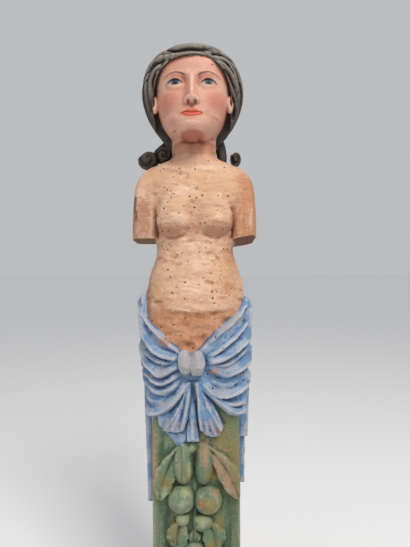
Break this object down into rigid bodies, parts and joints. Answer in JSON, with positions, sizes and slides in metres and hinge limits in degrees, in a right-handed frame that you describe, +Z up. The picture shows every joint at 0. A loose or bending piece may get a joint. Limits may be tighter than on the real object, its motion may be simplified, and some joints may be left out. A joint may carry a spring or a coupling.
{
  "type": "ship figurehead",
  "caption": "Carved and painted wooden figurehead: an armless woman rising from a square tapering post, with a knotted hip cloth, hanging leaves and fruit, and a flat sawn back.",
  "frame": {"origin": "on the underside of the foot, midway across it and 36 mm in front of the flat back", "axes": "+Z up the figure, -Y the way she faces, +Y out of the flat sawn back, her right arm at -X"},
  "size_m": [0.1194, 0.0889, 0.589],
  "materials": {
    "painted_wood": "oil paint brushed on carved wood, worn through on the ridges, with woodworm holes"
  },
  "bodies": {
    "root": {"figurehead": "painted_wood"}
  },
  "joints": []
}
